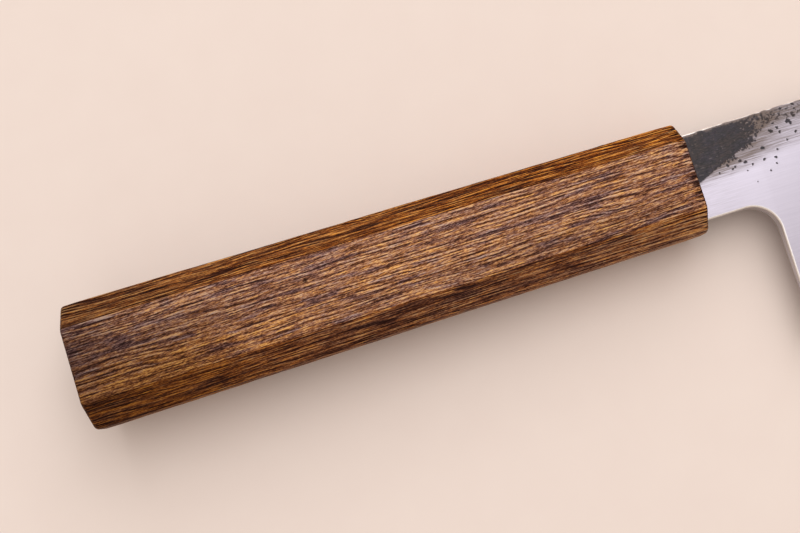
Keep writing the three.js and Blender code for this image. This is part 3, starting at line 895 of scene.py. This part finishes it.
def make_cladding(name, side, node, steel, skin_step):
    """The soft layer on one side of the blade: side is 1 on the right and -1 on the left."""
    def top(x, y):
        skin, _ = skin_marks(x, y, side)
        eased = rounding(spine_distance(x, y), SPINE_WEAR) + rounding(choil_distance(x, y), CHOIL_WEAR)
        pits = SKIN_PITS * flat_noise(x / PIT_SIZE, y / PIT_SIZE, 71)
        raised = half_thickness(x, y) - eased * (x >= SHOULDER_X) + skin * (SKIN_THICKNESS + pits)
        return np.maximum(raised, core_top(x) + THINNEST)

    def bottom(x, y):
        return core_top(x) + WELD_GAP

    outline = cladding_outline()
    points, faces = plate(outline, cladding_points(outline, skin_step), np.zeros((0, 2)), top, bottom)
    x, y, _ = points.T
    skin, haze = skin_marks(x, y, side)
    wall = choil_distance(x, y) < 0.02
    # Eased spine, neck and choil: painted near white as a highlight
    lip_highlight = smooth_step(choil_distance(x, y), *CHOIL_LIP) * np.where(wall, WALL_REFLECTION_POLISH, 1.0)
    rubbed_highlight = 0.12 * flat_noise(x / 1.2, y / 0.4, 72)
    polish_highlight = np.maximum(smooth_step(spine_distance(x, y) + rubbed_highlight, *SPINE_LIP), lip_highlight)
    # The choil's wall gets fixed shares, a painted reflection of the table
    haze = np.where(wall, WALL_REFLECTION_HAZE, haze * (1 - polish_highlight))
    marks = {"skin": skin * (1 - polish_highlight), "haze": haze, "polish_highlight": polish_highlight}
    points = points * (1, 1, side)
    faces = faces if side > 0 else [tuple(reversed(face)) for face in faces]
    make_piece(name, points, faces, marks, steel, node, sharp_degrees=50)


def make_core():
    """The hard layer in the middle, with the cutting edge."""
    edge_x = np.arange(HEEL_X, TIP_X, COARSE_STEP)
    outline = np.vstack([
        neck_and_choil(),
        line((HEEL_X, -NECK_DROP - CHOIL_RADIUS), (HEEL_X, edge_y(HEEL_X)), FINE_STEP),
        np.stack([edge_x, edge_y(edge_x)], axis=1),
        line((TIP_X, edge_y(TIP_X)), (TIP_X, edge_y(TIP_X) + TIP_FLAT), FINE_STEP),
        clip_and_spine(TIP_X),
    ])
    row_x = np.arange(HEEL_X + 0.3, TIP_X, COARSE_STEP)
    inner = np.vstack([np.stack([row_x, edge_y(row_x) + rise], axis=1) for rise in CORE_ROWS])
    inner = inner[inner[:, 1] < clip_y(inner[:, 0]) - 0.1]

    def top(x, y):
        return np.minimum(core_top(x), half_thickness(x, y))

    points, faces = plate(outline, inner, inner, top, lambda x, y: -top(x, y))
    make_piece("ground_edge_core", points, faces, {}, core_steel(), "edge_core",
               sharp_degrees=50)


make_handle()
cladding_steel = forged_steel()
make_cladding("forged_right_cladding", 1, "right_cladding", cladding_steel, 0.1)
make_cladding("forged_left_cladding", -1, "left_cladding", cladding_steel, 0.2)
make_core()
bedding = frame["nodes"]["tang_bedding"]
bedding.data.materials.clear()
bedding.data.materials.append(bedding_resin())


# Table, light and camera

TABLE_SIZE = 4.0           # m
SOFTBOX_AT = (0.3, 0.8, 1.5)           # m
SOFTBOX_SIZE = (1.4, 2.4)  # m
SOFTBOX_WATTS = 23.2
ROOM_STRENGTH = 0.52
PIXELS_WIDE = 800
FOCAL_PIXELS = 1280        # focal length in pixels, from the handle's perspective in the photograph
SENSOR_WIDTH = 36.0        # mm
CAMERA_AT = (-70.4, -23.8, 261.7)      # mm, knife coordinates
CAMERA_LOOKS_AT = (-61.96, 0.68, 0.0)
KNIFE_RISES = 17.3         # degrees that the knife's axis rises to the right in the picture


def make_table():
    half = TABLE_SIZE / 2
    corners = [(-half, -half, 0), (half, -half, 0), (half, half, 0), (-half, half, 0)]
    mesh = bpy.data.meshes.new("table_top")
    mesh.from_pydata(corners, [], [(0, 1, 2, 3)])
    mesh.materials.append(matte_table())
    table = bpy.data.objects.new("table_top", mesh)
    bpy.context.scene.collection.objects.link(table)


def make_light():
    """A broad softbox above the spine side, in an evenly pale room."""
    lamp = bpy.data.lights.new("overhead_softbox", "AREA")
    lamp.shape = "RECTANGLE"
    lamp.size, lamp.size_y = SOFTBOX_SIZE
    lamp.energy = SOFTBOX_WATTS
    softbox = bpy.data.objects.new("overhead_softbox", lamp)
    softbox.location = SOFTBOX_AT
    softbox.rotation_euler = (-Vector(SOFTBOX_AT)).to_track_quat("-Z", "Y").to_euler()
    bpy.context.scene.collection.objects.link(softbox)
    world = bpy.data.worlds.new("pale_room")
    world.use_nodes = True
    background = world.node_tree.nodes["Background"]
    background.inputs["Color"].default_value = linear("#fcf1e6")
    background.inputs["Strength"].default_value = ROOM_STRENGTH
    bpy.context.scene.world = world


def make_camera():
    place = KNIFE_TO_FRAME @ Vector(CAMERA_AT)
    back = (place - KNIFE_TO_FRAME @ Vector(CAMERA_LOOKS_AT)).normalized()
    knife_axis = KNIFE_TO_FRAME.to_3x3() @ Vector((1, 0, 0))
    level = (knife_axis - back * knife_axis.dot(back)).normalized()
    right = Matrix.Rotation(-math.radians(KNIFE_RISES), 3, back) @ level
    turn = Matrix((right, back.cross(right), back)).transposed().to_4x4()
    lens = bpy.data.cameras.new("camera")
    lens.sensor_width = SENSOR_WIDTH
    lens.lens = FOCAL_PIXELS / PIXELS_WIDE * SENSOR_WIDTH
    lens.clip_start = 0.01
    camera = bpy.data.objects.new("camera", lens)
    camera.matrix_world = Matrix.Translation(place) @ turn
    bpy.context.scene.collection.objects.link(camera)
    bpy.context.scene.camera = camera


make_table()
make_light()
make_camera()
bpy.context.scene.view_settings.view_transform = "Standard"
